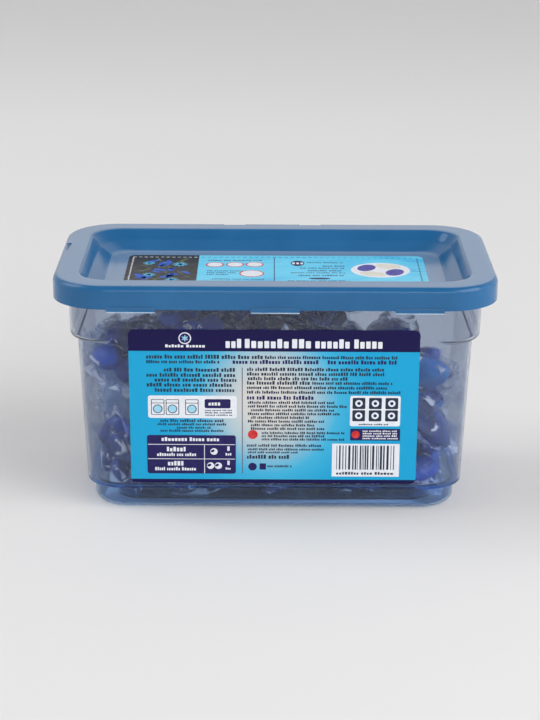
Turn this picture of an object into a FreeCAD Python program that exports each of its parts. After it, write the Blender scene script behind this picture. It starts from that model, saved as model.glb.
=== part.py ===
"""Laundry pod tub: a clear stepped tub, a snap lid with a stacking recess, two labels and forty pods.

Millimetres, +Z up. The origin is the middle of the footprint, on the surface that the tub stands on.
The long side runs along X and the labelled front faces -Y.
"""
import FreeCAD
import Part
import math
import os
import random

Vec = FreeCAD.Vector

# Lid
LID_LENGTH = 205.0
LID_WIDTH = 120.0
LID_CORNER = 25.0
LID_TOP = 113.5
LID_WALL = 1.3
LID_EDGE_ROUND = 2.8
SKIRT_DROP = 10.8

# Recess in the lid, where the foot of a second tub stands
RIM_WIDTH = 12.1
RIM_INNER_CORNER = 14.4
RECESS_DEPTH = 9.2
RECESS_RUN = 10.5
RECESS_FLOOR_CORNER = 11.0
CREASE_RUN = 3.6
CREASE_DROP = 4.7
CREASE_ROUND = 0.8
RIM_INNER_ROUND = 1.2
RECESS_FLOOR_ROUND = 1.8
PAN_SHIFT = 0.7
EASE_STEPS = 3
FLAT_LEFT_AT_EASE = 0.02

# Small features of the lid
SEAL_RIB_WALL = 1.0
SEAL_RIB_DROP = 3.0
TAB_LENGTH = 22.0
TAB_PITCH = 65.3
TAB_OUT = 0.8
TAB_HEIGHT = 1.7
TAB_BELOW_SKIRT = 0.8
SNAP_BEAD_HEIGHT = 1.0
REAR_NOTCH_LENGTH = 10.6
REAR_NOTCH_PITCH = 37.8
REAR_NOTCH_SHIFT = -1.4
REAR_NOTCH_REACH = 3.6
REAR_NOTCH_DEPTH = 0.8
SIDE_NOTCH_LENGTH = 13.6
SIDE_NOTCH_REACH = 3.8
SIDE_NOTCH_DEPTH = 0.6
SIDE_NOTCH_Y = 11.2
SIDE_SLOT_WIDTH = 0.9
SIDE_SLOT_LENGTH = 9.0
SIDE_SLOT_DEPTH = 0.4

# Tub body between the ledge and the step; in plan it keeps its distance from the lid's edge
TUB_WALL = 1.1
LEDGE_HEIGHT = 11.2
LID_BEYOND_LEDGE = 13.7
LEDGE_LENGTH = LID_LENGTH - 2 * LID_BEYOND_LEDGE
LEDGE_WIDTH = LID_WIDTH - 2 * LID_BEYOND_LEDGE
LEDGE_CORNER = 17.5
LEDGE_ROUND = 0.9
STEP_HEIGHT = 84.0
LID_BEYOND_STEP_END = 10.7
LID_BEYOND_STEP_SIDE = 7.3
STEP_LENGTH = LID_LENGTH - 2 * LID_BEYOND_STEP_END
STEP_WIDTH = LID_WIDTH - 2 * LID_BEYOND_STEP_SIDE
STEP_CORNER = 18.5

# Band above the step, its mouth and its outward rim
BAND_PROUD = 3.5
BAND_CORNER = 19.5
BAND_FLARE = 0.45
BAND_ROUND = 2.0
SLAB_SHARE = 1.2
RIM_THICKNESS = 1.2
LIP_WALL = 1.2
LIP_DROP = 4.2

# Foot that drops into the recess of the lid below
FOOT_INSET = 3.25
FOOT_CORNER = 16.5
FOOT_ROUND = 4.6
BASE_PANEL_INSET = 11.0
BASE_PANEL_RISE = 1.0

# Running clearances between the lid and the tub
RIM_CLEARANCE = 0.35
RIB_CLEARANCE = 0.35
BEAD_CLEARANCE = 0.12

# Labels
LABEL_THICKNESS = 0.15
FRONT_LABEL_END_MARGIN = 25.1
FRONT_LABEL_LENGTH = STEP_LENGTH - 2 * FRONT_LABEL_END_MARGIN
FRONT_LABEL_LOW = 14.4
FRONT_LABEL_HIGH = 91.6
FRONT_LABEL_CORNER = 2.6
FRONT_LABEL_SHIFT = -0.4
LID_LABEL_END_MARGIN = 30.6
LID_LABEL_SIDE_MARGIN = 29.7
LID_LABEL_LENGTH = LID_LENGTH - 2 * LID_LABEL_END_MARGIN
LID_LABEL_WIDTH = LID_WIDTH - 2 * LID_LABEL_SIDE_MARGIN
LID_LABEL_CORNER = 4.0
LID_LABEL_SHIFT = 0.5

# Pods: four leaning liquid chambers on a film disc, with a cushion of liquid below it
POD_COUNT = 40
POD_RADIUS = 20.5
POD_HEIGHT = 16.8
POD_SEAL_THICKNESS = 0.6
POD_SEAL_BELOW_MIDDLE = 1.4
POD_LOBES = 4
POD_LOBE_OFFSET = 10.3
POD_LOBE_RADIUS = 9.1
POD_PETAL_LEAN = 8.0
POD_CUSHION_RADIUS = 19.0
# Rounding of the chambers: share of their height, share of their radius
CHAMBER_LEVELS = ((0.35, 1.0), (0.68, 0.87), (0.9, 0.6), (1.0, 0.26))
# Rounding of the cushion: share of its depth, share of its radius
CUSHION_LEVELS = ((0.0, 1.0), (0.36, 0.97), (0.75, 0.82), (1.0, 0.6))

# Heap of pods
HEAP_SEED = 21
HEAP_SETTLE_SWEEPS = 300
HEAP_REST_SWEEPS = 180
HEAP_DROP = 0.5
HEAP_LAYER_SHARE = 1.5
HEAP_SPREAD_SHARE = 0.72
HEAP_PODS_A_LAYER = 8
HEAP_LEAST_LEAN = 5
HEAP_MOST_LEAN = 85
HEAP_LOOSE_ROOM = 10.0
LID_DOWN_SHARE = 0.6
SETTLE_PASSES = 4
REST_PASSES = 16
POD_STIFFNESS = 1.2
WALL_DIRECTIONS = 16
POD_CLEARANCE = 0.25
HEAD_SPACE = 6.0


def rounded_outline(length, width, corner, height, middle_x=0.0):
    """Points and arcs of a rounded rectangle at one height, as four sides and four corner arcs."""
    x = length / 2 - corner
    y = width / 2 - corner
    diagonal = corner * math.sqrt(0.5)
    sides = []
    arcs = []
    for turn in range(4):
        across = (x, y)[turn % 2]
        along = (y, x)[turn % 2]
        start = Vec(across + corner, -along, 0)
        stop = Vec(across + corner, along, 0)
        centre = Vec(across, along, 0)
        middle = centre + Vec(diagonal, diagonal, 0)
        end = centre + Vec(0, corner, 0)
        spin = FreeCAD.Rotation(Vec(0, 0, 1), 90 * turn)
        lift = Vec(middle_x, 0, height)
        placed = [spin.multVec(point) + lift for point in (start, stop, middle, end)]
        sides.append((placed[0], placed[1]))
        arcs.append((placed[1], placed[2], placed[3]))
    return sides, arcs


def outline_edges(outline):
    """Edges of a rounded outline in order."""
    sides, arcs = outline
    edges = []
    for side, arc in zip(sides, arcs):
        edges.append(Part.LineSegment(*side).toShape())
        edges.append(Part.Arc(*arc).toShape())
    return edges


def outline_face(outline):
    return Part.Face(Part.Wire(outline_edges(outline)))


def stacked_block(outlines):
    """Solid through rounded outlines from the lowest up, with flat sides and ruled corners."""
    faces = [outline_face(outlines[0]), outline_face(outlines[-1])]
    for low, high in zip(outlines, outlines[1:]):
        for side, top in zip(low[0], high[0]):
            faces.append(Part.Face(Part.makePolygon([side[0], side[1], top[1], top[0], side[0]])))
        for arc, top in zip(low[1], high[1]):
            faces.append(Part.makeRuledSurface(Part.Arc(*arc).toShape(), Part.Arc(*top).toShape()))
    shell = Part.Shell(faces)
    shell.sewShape()
    if Part.Solid(shell).Volume < 0:
        shell.reverse()
    return Part.Solid(shell)


def straight_block(length, width, corner, bottom, top, middle_x=0.0):
    face = outline_face(rounded_outline(length, width, corner, bottom, middle_x))
    return face.extrude(Vec(0, 0, top - bottom))


def box(low, high):
    size = high - low
    return Part.makeBox(size.x, size.y, size.z, low)


def edges_at(shape, height):
    """Edges that lie wholly at one height."""
    found = []
    for edge in shape.Edges:
        bounds = edge.BoundBox
        if abs(bounds.ZMin - height) < 1e-4 and abs(bounds.ZMax - height) < 1e-4:
            found.append(edge)
    return found


# Places that more than one piece shares
SKIRT_BOTTOM = LID_TOP - SKIRT_DROP
RING_UNDERSIDE = LID_TOP - LID_WALL
RECESS_FLOOR = LID_TOP - RECESS_DEPTH
PAN_UNDERSIDE = RECESS_FLOOR - LID_WALL
FRONT_LEAN = (STEP_WIDTH - LEDGE_WIDTH) / 2 / (STEP_HEIGHT - LEDGE_HEIGHT)
END_LEAN = (STEP_LENGTH - LEDGE_LENGTH) / 2 / (STEP_HEIGHT - LEDGE_HEIGHT)
CORNER_GROWTH = (STEP_CORNER - LEDGE_CORNER) / (STEP_HEIGHT - LEDGE_HEIGHT)
FOOT_LENGTH = LEDGE_LENGTH - 2 * FOOT_INSET
FOOT_WIDTH = LEDGE_WIDTH - 2 * FOOT_INSET


def front_half_width(height):
    """Half width of the tub outside, on one leaning plane from the ledge up to the mouth."""
    return LEDGE_WIDTH / 2 + (height - LEDGE_HEIGHT) * FRONT_LEAN


def body_half_length(height):
    return LEDGE_LENGTH / 2 + (height - LEDGE_HEIGHT) * END_LEAN


def body_outline(height, inset):
    """Outline of the tub body at one height, moved inwards by a wall."""
    corner = LEDGE_CORNER + (height - LEDGE_HEIGHT) * CORNER_GROWTH - inset
    length = 2 * (body_half_length(height) - inset)
    width = 2 * (front_half_width(height) - inset)
    return rounded_outline(length, width, corner, height)


def band_half_length(height):
    flare = BAND_FLARE * (height - STEP_HEIGHT) / (RING_UNDERSIDE - STEP_HEIGHT)
    return STEP_LENGTH / 2 + BAND_PROUD + flare


def band_outline(height, inset):
    """Outline of the band, proud of the body at both ends and flush with it at front and back."""
    length = 2 * (band_half_length(height) - inset)
    width = 2 * (front_half_width(height) - inset)
    return rounded_outline(length, width, BAND_CORNER - inset, height)


def rounded_slab(outline, bottom, top, edge_round):
    """Straight slab over an outline, with a round bottom edge."""
    face = outline_face(outline)
    face.translate(Vec(0, 0, bottom - face.BoundBox.ZMin))
    slab = face.extrude(Vec(0, 0, top - bottom))
    return slab.makeFillet(edge_round, edges_at(slab, bottom))


def foot_block(inset):
    """Foot with a round bottom edge, drawn in by a wall on every side but the top."""
    outline = rounded_outline(
        FOOT_LENGTH - 2 * inset, FOOT_WIDTH - 2 * inset, FOOT_CORNER - inset, inset
    )
    return rounded_slab(outline, inset, LEDGE_HEIGHT + inset + LEDGE_ROUND, FOOT_ROUND - inset)


def leaning_block(inset, low, high):
    """Block between the leaning front and back planes, longer than the tub."""
    outlines = []
    for height in (low, high):
        width = 2 * (front_half_width(height) - inset)
        outlines.append(rounded_outline(LID_LENGTH, width, LEDGE_ROUND, height))
    return stacked_block(outlines)


def tub_form(inset, mouth):
    """Outside of the tub, or its hollow when drawn in by the wall."""
    ledge = LEDGE_HEIGHT + inset
    ledge_top = ledge + LEDGE_ROUND * SLAB_SHARE
    step = STEP_HEIGHT + inset
    step_round = BAND_ROUND - inset / 2
    step_top = step + step_round * SLAB_SHARE
    ledge_slab = rounded_slab(body_outline(ledge_top, inset), ledge, ledge_top, LEDGE_ROUND)
    body = stacked_block([body_outline(ledge_top, inset), body_outline(step_top, inset)])
    step_slab = rounded_slab(band_outline(step_top, inset), step, step_top, step_round)
    step_slab = step_slab.common(leaning_block(inset, step, step_top))
    band = stacked_block([band_outline(step_top, inset), band_outline(mouth, inset)])
    return foot_block(inset).fuse([ledge_slab, body, step_slab, band])


def rim_ring():
    """Outward rim of the tub with its turned-down lip."""
    length = LID_LENGTH - 2 * (LID_WALL + RIM_CLEARANCE)
    width = LID_WIDTH - 2 * (LID_WALL + RIM_CLEARANCE)
    corner = LID_CORNER - LID_WALL - RIM_CLEARANCE
    lip_bottom = RING_UNDERSIDE - LIP_DROP
    rim = straight_block(length, width, corner, lip_bottom, RING_UNDERSIDE)
    under = straight_block(
        length - 2 * LIP_WALL,
        width - 2 * LIP_WALL,
        corner - LIP_WALL,
        lip_bottom,
        RING_UNDERSIDE - RIM_THICKNESS,
    )
    return rim.cut(under)


def base_panel(wall):
    """Shallow raised panel in the middle of the base, or its upper side when grown by the wall."""
    inset = BASE_PANEL_INSET - wall
    corner = FOOT_CORNER - BASE_PANEL_INSET / 2 + wall
    return straight_block(
        FOOT_LENGTH - 2 * inset, FOOT_WIDTH - 2 * inset, corner, 0, BASE_PANEL_RISE + wall
    )


def make_tub():
    outside = tub_form(0, RING_UNDERSIDE).fuse(rim_ring())
    hollow = tub_form(TUB_WALL, RING_UNDERSIDE)
    shell = outside.cut(hollow)
    shell = shell.fuse(base_panel(TUB_WALL))
    shell = shell.cut(base_panel(0))
    return shell.removeSplitter()


def eased_profile(corners, reaches):
    """Profile points with each inner corner rounded over a reach on both sides of it."""
    points = [corners[0]]
    for before, corner, after, reach in zip(corners, corners[1:], corners[2:], reaches):
        start = corner + (before - corner).normalize() * reach
        end = corner + (after - corner).normalize() * reach
        for step in range(EASE_STEPS + 1):
            share = step / EASE_STEPS
            first = start + (corner - start) * share
            second = corner + (end - corner) * share
            points.append(first + (second - first) * share)
    return points


def recess_form(wall):
    """Stacking recess from rim to floor, or the underside of its pan when grown by the wall."""
    corners = [
        Vec(-RIM_INNER_ROUND, 0, 0),
        Vec(0, 0, 0),
        Vec(CREASE_RUN, -CREASE_DROP, 0),
        Vec(RECESS_RUN, -RECESS_DEPTH, 0),
        Vec(RECESS_RUN + RECESS_FLOOR_ROUND, -RECESS_DEPTH, 0),
    ]
    rim_reach = RIM_INNER_ROUND * (1 - FLAT_LEFT_AT_EASE)
    floor_reach = RECESS_FLOOR_ROUND * (1 - FLAT_LEFT_AT_EASE)
    reaches = [rim_reach, CREASE_ROUND, floor_reach]
    outlines = []
    for point in reversed(eased_profile(corners, reaches)[1:]):
        inset = RIM_WIDTH + point.x - PAN_SHIFT * wall
        blend = point.x / RECESS_RUN
        corner = RIM_INNER_CORNER + (RECESS_FLOOR_CORNER - RIM_INNER_CORNER) * blend
        outlines.append(
            rounded_outline(
                LID_LENGTH - 2 * inset, LID_WIDTH - 2 * inset, corner, LID_TOP + point.y - wall
            )
        )
    return stacked_block(outlines)


def seal_rib():
    """Rib that fits inside the mouth of the tub."""
    inset = TUB_WALL + RIB_CLEARANCE
    bottom = RING_UNDERSIDE - SEAL_RIB_DROP
    half_length = band_half_length(bottom) - inset
    half_width = front_half_width(bottom) - inset
    corner = BAND_CORNER - inset
    outer = straight_block(2 * half_length, 2 * half_width, corner, bottom, RING_UNDERSIDE)
    inner = straight_block(
        2 * (half_length - SEAL_RIB_WALL),
        2 * (half_width - SEAL_RIB_WALL),
        corner - SEAL_RIB_WALL,
        bottom,
        RING_UNDERSIDE,
    )
    return outer.cut(inner)


def tabs_and_beads():
    """Finger tabs along the foot of the skirt, and the snap beads behind them."""
    pieces = []
    half = LID_WIDTH / 2
    bead_top = RING_UNDERSIDE - LIP_DROP - RIM_CLEARANCE
    bead_reach = LID_WALL + RIM_CLEARANCE - BEAD_CLEARANCE
    for side in (-1, 1):
        for place in (-1, 0, 1):
            left = place * TAB_PITCH - TAB_LENGTH / 2
            tab_low = SKIRT_BOTTOM - TAB_BELOW_SKIRT
            near, far = sorted((side * (half - LID_WALL), side * (half + TAB_OUT)))
            tab = box(Vec(left, near, tab_low), Vec(left + TAB_LENGTH, far, tab_low + TAB_HEIGHT))
            near, far = sorted((side * (half - bead_reach), side * (half - LID_WALL / 2)))
            bead = box(
                Vec(left, near, bead_top - SNAP_BEAD_HEIGHT), Vec(left + TAB_LENGTH, far, bead_top)
            )
            pieces.extend([tab, bead])
    return pieces


def rim_notches():
    """Shallow notches that the mould leaves in the rim: two at the back and one on the left."""
    cuts = []
    beyond = 2 * LID_EDGE_ROUND
    for side in (-1, 1):
        middle = REAR_NOTCH_SHIFT + side * REAR_NOTCH_PITCH / 2
        low = Vec(
            middle - REAR_NOTCH_LENGTH / 2, LID_WIDTH / 2 - REAR_NOTCH_REACH, LID_TOP - REAR_NOTCH_DEPTH
        )
        high = Vec(middle + REAR_NOTCH_LENGTH / 2, LID_WIDTH / 2 + beyond, LID_TOP + beyond)
        cuts.append(box(low, high))
    left = -LID_LENGTH / 2
    inner = left + SIDE_NOTCH_REACH
    notch_low = SIDE_NOTCH_Y - SIDE_NOTCH_LENGTH / 2
    notch_floor = LID_TOP - SIDE_NOTCH_DEPTH
    cuts.append(
        box(
            Vec(left - beyond, notch_low, notch_floor),
            Vec(inner, notch_low + SIDE_NOTCH_LENGTH, LID_TOP + beyond),
        )
    )
    slot_low = SIDE_NOTCH_Y - SIDE_SLOT_LENGTH / 2
    cuts.append(
        box(
            Vec(inner - 2 * SIDE_SLOT_WIDTH, slot_low, notch_floor - SIDE_SLOT_DEPTH),
            Vec(inner - SIDE_SLOT_WIDTH, slot_low + SIDE_SLOT_LENGTH, LID_TOP),
        )
    )
    return cuts


def make_lid():
    outer = straight_block(LID_LENGTH, LID_WIDTH, LID_CORNER, SKIRT_BOTTOM, LID_TOP)
    outer = outer.makeFillet(LID_EDGE_ROUND, edges_at(outer, LID_TOP))
    pocket = straight_block(
        LID_LENGTH - 2 * LID_WALL,
        LID_WIDTH - 2 * LID_WALL,
        LID_CORNER - LID_WALL,
        SKIRT_BOTTOM,
        RING_UNDERSIDE,
    )
    lid = outer.cut(pocket).fuse([recess_form(LID_WALL), seal_rib()] + tabs_and_beads())
    lid = lid.cut([recess_form(0)] + rim_notches())
    return lid.removeSplitter()


def make_front_label():
    """Label on the leaning front of the tub, face to face with the wall."""
    slant = math.hypot(1, FRONT_LEAN)
    height = (FRONT_LABEL_HIGH - FRONT_LABEL_LOW) * slant
    flat = straight_block(
        FRONT_LABEL_LENGTH, height, FRONT_LABEL_CORNER, 0, LABEL_THICKNESS, FRONT_LABEL_SHIFT
    )
    middle = (FRONT_LABEL_HIGH + FRONT_LABEL_LOW) / 2
    tilt = 90 + math.degrees(math.atan(FRONT_LEAN))
    flat.rotate(Vec(0, 0, 0), Vec(1, 0, 0), tilt)
    flat.translate(Vec(0, -front_half_width(middle), middle))
    return flat


def make_lid_label():
    return straight_block(
        LID_LABEL_LENGTH,
        LID_LABEL_WIDTH,
        LID_LABEL_CORNER,
        RECESS_FLOOR,
        RECESS_FLOOR + LABEL_THICKNESS,
        LID_LABEL_SHIFT,
    )


def make_chambers(bottom, top):
    """Four liquid chambers on the film disc, each a dome that leans sideways like a petal."""
    height = top - bottom
    points = [Vec(0, 0, -height)]
    points.append(Vec(POD_LOBE_RADIUS, 0, -height))
    for share, reach in CHAMBER_LEVELS:
        points.append(Vec(POD_LOBE_RADIUS * reach, 0, height * share))
    points.extend([Vec(0, 0, height), points[0]])
    dome = Part.Face(Part.makePolygon(points)).revolve(Vec(0, 0, 0), Vec(0, 0, 1), 360)
    dome.rotate(Vec(0, 0, 0), Vec(1, 0, 0), POD_PETAL_LEAN)
    dome.translate(Vec(POD_LOBE_OFFSET, 0, bottom))
    domes = []
    for number in range(POD_LOBES):
        petal = dome.copy()
        petal.rotate(Vec(0, 0, 0), Vec(0, 0, 1), 360 * number / POD_LOBES)
        domes.append(petal)
    size = 2 * POD_RADIUS
    above = box(Vec(-size, -size, bottom), Vec(size, size, top))
    return domes[0].fuse(domes[1:]).common(above)


def make_cushion(bottom, top):
    """Cushion of liquid that bulges below the film disc."""
    points = [Vec(0, 0, top)]
    for share, reach in CUSHION_LEVELS:
        points.append(Vec(POD_CUSHION_RADIUS * reach, 0, top - (top - bottom) * share))
    points.extend([Vec(0, 0, bottom), points[0]])
    return Part.Face(Part.makePolygon(points)).revolve(Vec(0, 0, 0), Vec(0, 0, 1), 360)


def make_pod():
    """One pod about its own middle."""
    seal_low = -POD_SEAL_BELOW_MIDDLE - POD_SEAL_THICKNESS / 2
    seal_high = seal_low + POD_SEAL_THICKNESS
    seal = Part.makeCylinder(POD_RADIUS, POD_SEAL_THICKNESS, Vec(0, 0, seal_low))
    chambers = make_chambers(seal_high, POD_HEIGHT / 2)
    cushion = make_cushion(-POD_HEIGHT / 2, seal_low)
    return seal.fuse([cushion, chambers]).removeSplitter()


# The heap treats each pod as a flat disc with a round edge, held by its middle and its axis.
EDGE = POD_HEIGHT / 2
CORE = POD_RADIUS - POD_HEIGHT / 2
TURN_SPREAD = POD_RADIUS ** 2 * POD_STIFFNESS


def disc_point(middle, axis, point):
    """Point of a flat disc that is nearest to another point."""
    offset = point - middle
    flat = offset - axis * offset.dot(axis)
    reach = flat.Length
    if reach > CORE:
        flat = flat * (CORE / reach)
    return middle + flat


def push(pod, point, direction, amount):
    """Move and tip one pod so that a point of it moves along a direction."""
    lever = (point - pod[0]).cross(direction)
    weight = 1 + lever.dot(lever) / TURN_SPREAD
    pod[0] = pod[0] + direction * (amount / weight)
    pod[1] = pod[1] + lever.cross(pod[1]) * (amount / weight / TURN_SPREAD)
    pod[1].normalize()


def separate(first, second, passes):
    """Push two pods apart where their round edges come too near."""
    if (first[0] - second[0]).Length > 2 * POD_RADIUS + POD_CLEARANCE:
        return
    there = second[0]
    for _ in range(passes):
        here = disc_point(first[0], first[1], there)
        there = disc_point(second[0], second[1], here)
    apart = here - there
    gap = apart.Length
    overlap = 2 * EDGE + POD_CLEARANCE - gap
    if overlap <= 0:
        return
    direction = apart * (1 / gap) if gap > 1e-6 else Vec(0, 0, 1)
    push(first, here, direction, overlap / 2)
    push(second, there, direction * -1, overlap / 2)


def wall_reach(normal, height):
    """How far the inner wall lies from the middle along a level direction, at one height."""
    wall = TUB_WALL + POD_CLEARANCE
    if height < LEDGE_HEIGHT + TUB_WALL + LEDGE_ROUND:
        half_length = FOOT_LENGTH / 2 - wall
        half_width = FOOT_WIDTH / 2 - wall
        corner = FOOT_CORNER - wall
    else:
        half_length = body_half_length(height) - wall
        half_width = front_half_width(height) - wall
        corner = LEDGE_CORNER - wall
    return abs(normal.x) * (half_length - corner) + abs(normal.y) * (half_width - corner) + corner


def support_point(pod, direction):
    """Point of a pod's flat disc that lies furthest along a direction."""
    flat = direction - pod[1] * direction.dot(pod[1])
    reach = flat.Length
    return pod[0] + flat * (CORE / reach) if reach > 1e-6 else pod[0]


def keep_inside(pod, floor, ceiling):
    """Push a pod back from the walls, the floor and the head space."""
    for outward, limit in ((Vec(0, 0, -1), -floor), (Vec(0, 0, 1), ceiling)):
        point = support_point(pod, outward)
        excess = point.dot(outward) + EDGE - limit
        if excess > 0:
            push(pod, point, outward * -1, excess)
    for step in range(WALL_DIRECTIONS):
        angle = 2 * math.pi * step / WALL_DIRECTIONS
        outward = Vec(math.cos(angle), math.sin(angle), 0)
        down = Vec(0, 0, -1)
        for direction in (outward, outward + down, down):
            point = support_point(pod, direction)
            excess = point.dot(outward) + EDGE - wall_reach(outward, point.z - EDGE)
            if excess > 0:
                push(pod, point, outward * -1, excess)


def loose_pods(chance, floor):
    """Pods strewn at random in a tall loose column, each at its own lean."""
    spread_x = HEAP_SPREAD_SHARE * LEDGE_LENGTH / 2
    spread_y = HEAP_SPREAD_SHARE * (LEDGE_WIDTH / 2 - CORE)
    rise = HEAP_LAYER_SHARE * POD_HEIGHT / HEAP_PODS_A_LAYER
    pods = []
    for number in range(POD_COUNT):
        middle = Vec(
            chance.uniform(-spread_x, spread_x),
            chance.uniform(-spread_y, spread_y),
            floor + POD_HEIGHT / 2 + (number + 1) * rise,
        )
        lean = math.radians(chance.uniform(HEAP_LEAST_LEAN, HEAP_MOST_LEAN))
        heading = chance.uniform(0, 2 * math.pi)
        axis = Vec(math.sin(lean) * math.cos(heading), math.sin(lean) * math.sin(heading), math.cos(lean))
        pods.append([middle, axis])
    return pods, floor + (POD_COUNT + HEAP_PODS_A_LAYER) * rise + HEAP_LOOSE_ROOM


def heap_of_pods(chance):
    """Middles and axes of the pods after they have dropped and settled in the tub."""
    floor = TUB_WALL + BASE_PANEL_RISE + POD_CLEARANCE
    ceiling = PAN_UNDERSIDE - HEAD_SPACE
    pods, top = loose_pods(chance, floor)
    for sweep in range(HEAP_SETTLE_SWEEPS + HEAP_REST_SWEEPS):
        settled = min(1.0, sweep / HEAP_SETTLE_SWEEPS)
        lid = top + (ceiling - top) * min(1.0, settled / LID_DOWN_SHARE)
        passes = SETTLE_PASSES if settled < 1 else REST_PASSES
        for pod in pods:
            pod[0] = pod[0] - Vec(0, 0, HEAP_DROP * (1 - settled))
        for number, pod in enumerate(pods):
            for other in pods[number + 1:]:
                separate(pod, other, passes)
        for pod in pods:
            keep_inside(pod, floor, lid)
    return pods


def make_pods():
    template = make_pod()
    chance = random.Random(HEAP_SEED)
    heap = sorted(heap_of_pods(chance), key=lambda pod: pod[0].z)
    shapes = []
    for middle, axis in heap:
        up = 1 if chance.random() < 0.5 else -1
        spin = FreeCAD.Rotation(Vec(0, 0, 1), chance.uniform(0, 360))
        lean = FreeCAD.Rotation(Vec(0, 0, 1), axis * up)
        shape = template.copy()
        shape.Placement = FreeCAD.Placement(middle, lean.multiply(spin))
        shapes.append(shape)
    return shapes


def main():
    os.makedirs("parts", exist_ok=True)
    shapes = {
        "tub": make_tub(),
        "lid": make_lid(),
        "front_label": make_front_label(),
        "lid_label": make_lid_label(),
    }
    for number, shape in enumerate(make_pods(), 1):
        shapes[f"pod_{number:02d}"] = shape
    for name, shape in shapes.items():
        shape.exportStep(os.path.join("parts", name + ".step"))


main()
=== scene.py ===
"""Looks of the laundry pod tub: clear tub, blue snap lid, printed labels and a heap of pods.

Drawn sizes are in millimetres and turned into metres by MM. The frame is the CAD part's own:
+X along the tub, +Z up, the labelled front towards -Y.
"""
import math
import random

import bpy
import numpy as np
from mathutils import Matrix, Vector


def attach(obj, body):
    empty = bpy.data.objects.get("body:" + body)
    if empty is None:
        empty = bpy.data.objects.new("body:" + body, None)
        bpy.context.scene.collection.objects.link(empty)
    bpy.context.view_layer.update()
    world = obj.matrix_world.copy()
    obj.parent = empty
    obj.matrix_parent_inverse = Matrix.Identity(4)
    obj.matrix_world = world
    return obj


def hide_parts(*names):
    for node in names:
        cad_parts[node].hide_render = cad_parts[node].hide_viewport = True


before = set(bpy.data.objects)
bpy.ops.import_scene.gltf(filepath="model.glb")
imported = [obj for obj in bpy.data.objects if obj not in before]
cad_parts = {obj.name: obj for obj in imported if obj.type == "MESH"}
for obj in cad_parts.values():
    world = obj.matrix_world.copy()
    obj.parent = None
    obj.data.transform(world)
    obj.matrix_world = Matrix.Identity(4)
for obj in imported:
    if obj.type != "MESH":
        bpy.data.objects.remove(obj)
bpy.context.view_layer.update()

MM = 0.001

# Places on the tub, the lid and the labels that the looks refer to
RECESS_FLOOR = 104.3
LEDGE_HEIGHT = 11.2
FRONT_AT_LEDGE = 46.3
FRONT_LEAN = 6.4 / 72.8
FRONT_SLANT = math.hypot(1, FRONT_LEAN)
LABEL_THICKNESS = 0.15
FRONT_LABEL_LOW = 14.4
FRONT_LABEL_HIGH = 91.6
FRONT_LABEL_MIDDLE = (FRONT_LABEL_LOW + FRONT_LABEL_HIGH) / 2
FOOT_LINE_TOP = 16.3
HEADER_FOOT = 81.0
DARK_FIELD_END = -37.2

# Finger tabs of the lid and the lip at their foot, painted pale as a highlight
TAB_PITCH = 65.3
TAB_LENGTH = 22.0
TAB_FACE = 60.45
TAB_FOOT = 101.62
LIP_DEPTH = 0.66
LIP_HEIGHT = 0.6
LIP_ROUNDING = 0.25

# Ink films, one above the other
PANEL_INK = 0.02
MAIN_INK = 0.03
DETAIL_INK = 0.04
TOP_INK = 0.05
UPPERMOST_INK = 0.06

# One pod about its own middle
POD_RADIUS = 20.5
POD_HALF_HEIGHT = 8.4
FILM_LEVEL = -1.4
CHAMBER_OFFSET = 9.7
CHAMBER_RADIUS = 8.5
CUSHION_RADIUS = 17.6
SWIRL_TURN = 60
SWIRL_CORE = 3.2
SWIRL_REACH = 17
LIQUID_SHARE = 0.94
FILM_EDGE_RADIUS = 22.5
FILM_RING_WIDTHS = (1.0, 1.1, 1.2, 1.3, 1.4)
FILM_THICKNESS = 0.12

# Points that tell how a CAD pod lies: those out at its rim, and those near its chambers' tops
RIM_SHARE = 0.995
TOP_SLICE = 1.2

# Push on a pod's film edge, skin and liquid: reach in millimetres, cloud size in metres
CRINKLE = (6.0, 0.007)
WRINKLE = (3.0, 0.011)
BULGE = (1.4, 0.014)

# Room inside the tub's wall at the ledge, its growth upward, and how low film may reach
ROOM_LENGTH = 87.2
ROOM_WIDTH = 44.7
ROOM_CORNER = 16.5
END_LEAN = 0.0412
LOWEST_FILM = 1.4

# Floor and backdrop, in metres
FLOOR_SPAN = 16
FLOOR_DEPTH = 9.2
FLOOR_MIDDLE = -3.4
BACKDROP_DEPTH = 2.0
BACKDROP_MIDDLE = 2.2
BACKDROP_HEIGHT = 4.5
SWEEP_RADIUS = 1.6

# Photograph's view: lens in millimetres, place in metres, turns in degrees
FOCAL_LENGTH = 137.47
SENSOR_WIDTH = 36
CAMERA_PLACE = (-0.00227, -0.9524, 0.3639)
CAMERA_TILT = 72.313
CAMERA_ROLL = 0.282

# Soft lamps: name, place and size in metres, power in watts
LAMP_TARGET = (0, 0, 0.05)
SOFT_LAMPS = [
    ("right_softbox", (1.3, -0.8, 1.0), (1.5, 1.3), 22),
    ("left_softbox", (-1.3, 0.1, 1.3), (1.1, 1.1), 11),
    ("front_softbox", (0.3, -1.9, 0.7), (1.2, 0.8), 7),
]

# Screen colours of the inks, deeper and paler
INK_TONES = {
    "white": ((226, 229, 236), (234, 236, 242)),
    "navy": ((34, 28, 84), (40, 34, 94)),
    "dark": ((34, 46, 66), (44, 56, 78)),
    "mauve": ((96, 92, 112), (108, 104, 122)),
    "cyan": ((150, 210, 232), (170, 220, 238)),
    "purple": ((70, 62, 150), (88, 80, 168)),
    "cream": ((216, 212, 200), (228, 224, 212)),
    "royal": ((26, 60, 180), (40, 110, 206)),
    "olive": ((84, 96, 60), (126, 134, 92)),
    "red": ((196, 44, 48), (212, 66, 62)),
    "sky": ((70, 168, 216), (110, 196, 230)),
}

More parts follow.
